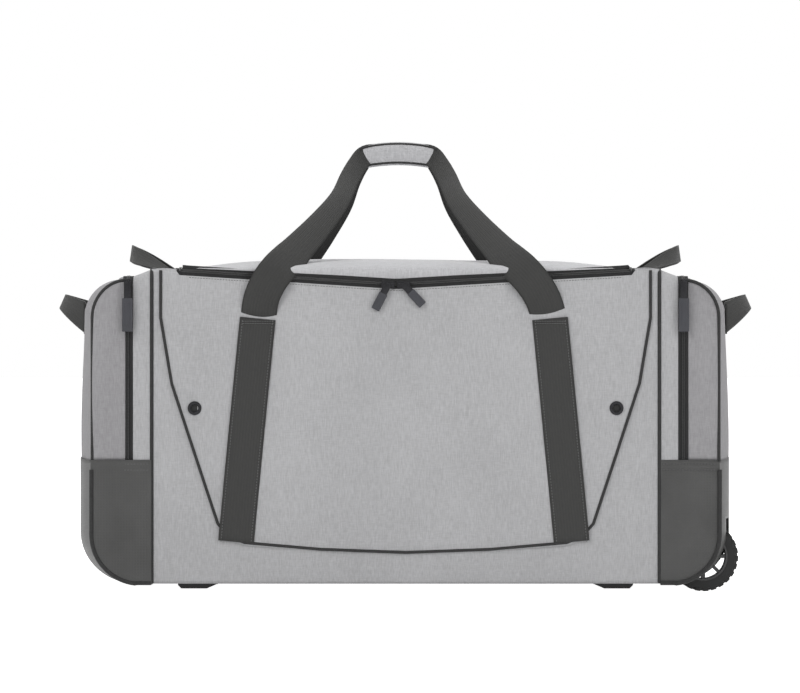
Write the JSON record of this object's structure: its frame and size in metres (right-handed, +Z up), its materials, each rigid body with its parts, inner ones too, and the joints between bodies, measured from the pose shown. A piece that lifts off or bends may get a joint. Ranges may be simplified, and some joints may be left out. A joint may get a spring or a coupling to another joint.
{
  "type": "wheeled hockey equipment bag",
  "caption": "Long wheeled duffel bag with a zipped lid, zipped end pockets, coated lower corners, carrying straps with a padded grip, and webbing grab handles.",
  "frame": {"origin": "centre of the footprint at floor level, under the skid feet and wheels", "axes": "+X along the length towards the wheels, -Y the front face, +Z up"},
  "size_m": [0.978, 0.46, 0.66],
  "materials": {
    "grey_polyester": "heathered woven polyester",
    "pocket_polyester": "heathered woven polyester",
    "lid_polyester": "heathered woven polyester",
    "padded_polyester": "padded woven polyester",
    "zip_tape": "woven tape with coil teeth",
    "dark_metal": "gunmetal plated",
    "pull_rubber": "matt moulded",
    "black_webbing": "ribbed polypropylene webbing",
    "piping_cord": "covered cord",
    "coated_cloth": "PVC-coated tarpaulin",
    "lining": "plain lining",
    "black_plastic": "moulded",
    "wheel_tyre": "moulded tread",
    "rim_plastic": "moulded",
    "steel": "zinc plated"
  },
  "bodies": {
    "bag": {"front_centre_panel": "grey_polyester", "front_surround": "grey_polyester", "back_centre_panel": "grey_polyester", "back_surround": "grey_polyester", "base_panel": "coated_cloth", "base_board": "black_plastic", "left_divider": "lining", "right_divider": "lining", "top_surround": "grey_polyester", "lid_zip_body_half": "zip_tape", "front_bands": "black_webbing", "back_bands": "black_webbing", "front_piping": "piping_cord", "back_piping": "piping_cord", "left_seam_piping": "piping_cord", "right_seam_piping": "piping_cord", "eyelets": "dark_metal", "left_gusset": "grey_polyester", "right_gusset": "grey_polyester", "left_pocket_zip_body_half": "zip_tape", "right_pocket_zip_body_half": "zip_tape", "left_boot": "coated_cloth", "right_boot": "coated_cloth", "left_welt": "piping_cord", "right_welt": "piping_cord", "front_wheel_housing": "black_plastic", "rear_wheel_housing": "black_plastic", "axle_bolts": "steel", "axle_nuts": "steel", "bearing_spacers": "steel", "skid_feet": "black_plastic"},
    "lid": {"lid_panel": "lid_polyester", "lid_zip_lid_half": "zip_tape"},
    "front_handle": {"front_handle_strap": "black_webbing"},
    "back_handle": {"back_handle_strap": "black_webbing", "grip_wrap": "padded_polyester"},
    "left_lid_slider_body": {"left_lid_slider": "dark_metal"},
    "left_lid_pull_body": {"left_lid_pull": "pull_rubber"},
    "left_pocket": {"left_pocket_door": "pocket_polyester", "left_pocket_zip_door_half": "zip_tape", "left_end_vent": "black_plastic"},
    "left_pocket_slider_body": {"left_pocket_slider": "dark_metal"},
    "left_pocket_pull_body": {"left_pocket_pull": "pull_rubber"},
    "left_end_handle_body": {"left_end_handle": "black_webbing"},
    "left_top_handle_body": {"left_top_handle": "black_webbing"},
    "right_lid_slider_body": {"right_lid_slider": "dark_metal"},
    "right_lid_pull_body": {"right_lid_pull": "pull_rubber"},
    "right_pocket": {"right_pocket_door": "pocket_polyester", "right_pocket_zip_door_half": "zip_tape", "right_end_vent": "black_plastic"},
    "right_pocket_slider_body": {"right_pocket_slider": "dark_metal"},
    "right_pocket_pull_body": {"right_pocket_pull": "pull_rubber"},
    "right_end_handle_body": {"right_end_handle": "black_webbing"},
    "right_top_handle_body": {"right_top_handle": "black_webbing"},
    "front_wheel": {"front_tyre": "wheel_tyre", "front_rim": "rim_plastic", "front_bearings": "steel"},
    "rear_wheel": {"rear_tyre": "wheel_tyre", "rear_rim": "rim_plastic", "rear_bearings": "steel"}
  },
  "joints": [
    {"name": "lid_open", "type": "hinge", "parent": "bag", "child": "lid", "pos_m": [0, 0.205, 0.4645], "axis": [-1, 0, 0], "range_deg": [0, 110], "deforming": ["front_handle_strap", "back_handle_strap", "grip_wrap"]},
    {"name": "front_handle_fall", "type": "hinge", "parent": "bag", "child": "front_handle", "pos_m": [0, -0.217, 0.393], "axis": [1, 0, 0], "range_deg": [0, 178], "deforming": ["front_handle_strap", "back_handle_strap", "grip_wrap"]},
    {"name": "back_handle_fall", "type": "hinge", "parent": "bag", "child": "back_handle", "pos_m": [0, 0.217, 0.393], "axis": [-1, 0, 0], "range_deg": [0, 178], "deforming": ["front_handle_strap", "back_handle_strap", "grip_wrap"]},
    {"name": "left_lid_slider_slide", "type": "slide", "parent": "bag", "child": "left_lid_slider_body", "axis": [-0.9979, 0, 0.0648], "range_m": [0, 0.23]},
    {"name": "left_lid_pull_swing", "type": "hinge", "parent": "left_lid_slider_body", "child": "left_lid_pull_body", "pos_m": [-0.025, -0.221, 0.44171], "axis": [0, 1, 0], "range_deg": [-26, 25]},
    {"name": "left_pocket_open", "type": "hinge", "parent": "bag", "child": "left_pocket", "pos_m": [-0.46, 0, 0.1884], "axis": [0, -1, 0], "range_deg": [0, 95]},
    {"name": "left_pocket_slider_slide", "type": "slide", "parent": "bag", "child": "left_pocket_slider_body", "axis": [0, 0, -1], "range_m": [0, 0.23]},
    {"name": "left_pocket_pull_flip", "type": "hinge", "parent": "left_pocket_slider_body", "child": "left_pocket_pull_body", "pos_m": [-0.397, -0.22, 0.442], "axis": [-1, 0, 0], "range_deg": [0, 160]},
    {"name": "left_end_handle_flex", "type": "hinge", "parent": "left_pocket", "child": "left_end_handle_body", "pos_m": [-0.4604, 0, 0.405], "axis": [0, 1, 0], "range_deg": [-35, 60], "stiffness_Nm_per_rad": 0.15, "deforming": ["left_end_handle"]},
    {"name": "left_top_handle_flex", "type": "hinge", "parent": "bag", "child": "left_top_handle_body", "pos_m": [-0.362, 0, 0.4664], "axis": [0, -1, 0], "range_deg": [-45, 45], "stiffness_Nm_per_rad": 0.15, "deforming": ["left_top_handle"]},
    {"name": "right_lid_slider_slide", "type": "slide", "parent": "bag", "child": "right_lid_slider_body", "axis": [0.9982, 0, 0.0594], "range_m": [0, 0.23]},
    {"name": "right_lid_pull_swing", "type": "hinge", "parent": "right_lid_slider_body", "child": "right_lid_pull_body", "pos_m": [-0.003, -0.221, 0.44165], "axis": [0, -1, 0], "range_deg": [-46, 25]},
    {"name": "right_pocket_open", "type": "hinge", "parent": "bag", "child": "right_pocket", "pos_m": [0.46, 0, 0.1884], "axis": [0, 1, 0], "range_deg": [0, 95]},
    {"name": "right_pocket_slider_slide", "type": "slide", "parent": "bag", "child": "right_pocket_slider_body", "axis": [0, 0, -1], "range_m": [0, 0.23]},
    {"name": "right_pocket_pull_flip", "type": "hinge", "parent": "right_pocket_slider_body", "child": "right_pocket_pull_body", "pos_m": [0.397, -0.22, 0.442], "axis": [-1, 0, 0], "range_deg": [0, 160]},
    {"name": "right_end_handle_flex", "type": "hinge", "parent": "right_pocket", "child": "right_end_handle_body", "pos_m": [0.4604, 0, 0.405], "axis": [0, -1, 0], "range_deg": [-35, 60], "stiffness_Nm_per_rad": 0.15, "deforming": ["right_end_handle"]},
    {"name": "right_top_handle_flex", "type": "hinge", "parent": "bag", "child": "right_top_handle_body", "pos_m": [0.362, 0, 0.4664], "axis": [0, 1, 0], "range_deg": [-45, 45], "stiffness_Nm_per_rad": 0.15, "deforming": ["right_top_handle"]},
    {"name": "front_wheel_spin", "type": "hinge", "parent": "bag", "child": "front_wheel", "pos_m": [0.43, -0.165, 0.05], "axis": [0, 1, 0], "continuous": true},
    {"name": "rear_wheel_spin", "type": "hinge", "parent": "bag", "child": "rear_wheel", "pos_m": [0.43, 0.165, 0.05], "axis": [0, 1, 0], "continuous": true}
  ]
}
